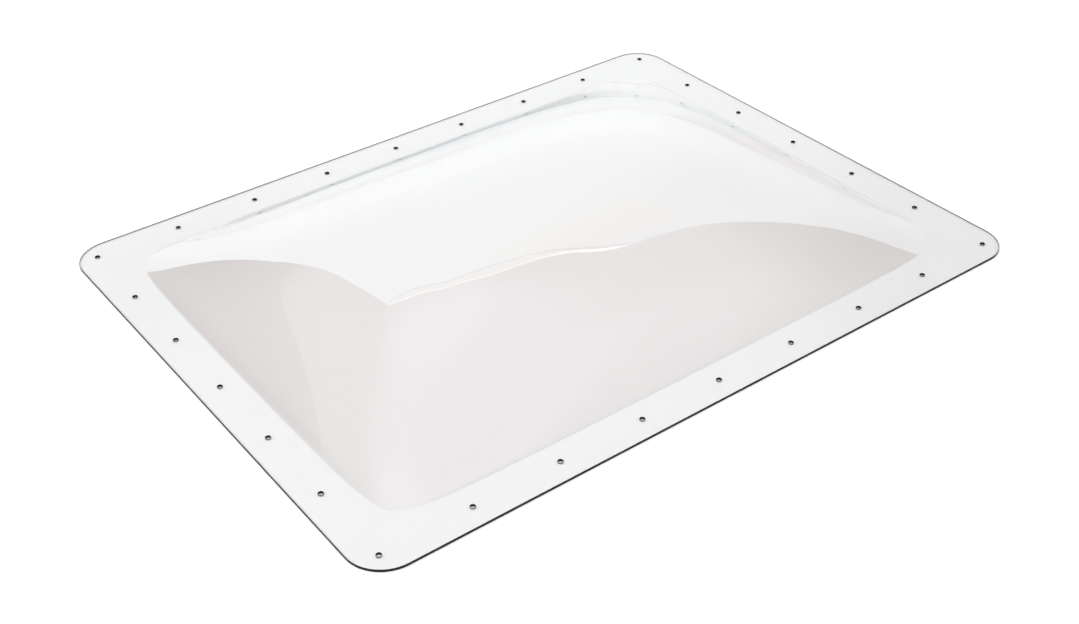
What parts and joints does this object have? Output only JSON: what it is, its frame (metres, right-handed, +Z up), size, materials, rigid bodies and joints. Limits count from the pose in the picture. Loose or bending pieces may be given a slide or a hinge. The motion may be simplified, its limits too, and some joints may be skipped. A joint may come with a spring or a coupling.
{
  "type": "rv skylight dome",
  "caption": "Clear blown dome skylight: one rectangular sheet with a flat, drilled flange round a shallow pillow-shaped dome, open below.",
  "frame": {"origin": "middle of the flange's underside, on the roof surface, under the crown", "axes": "+Z up through the crown, +X along the long side, +Y along the short side"},
  "size_m": [0.8636, 0.6604, 0.09],
  "materials": {
    "clear_polycarbonate": "clear, polished polycarbonate sheet with saw-cut edges"
  },
  "bodies": {
    "root": {"skylight_dome": "clear_polycarbonate"}
  },
  "joints": []
}
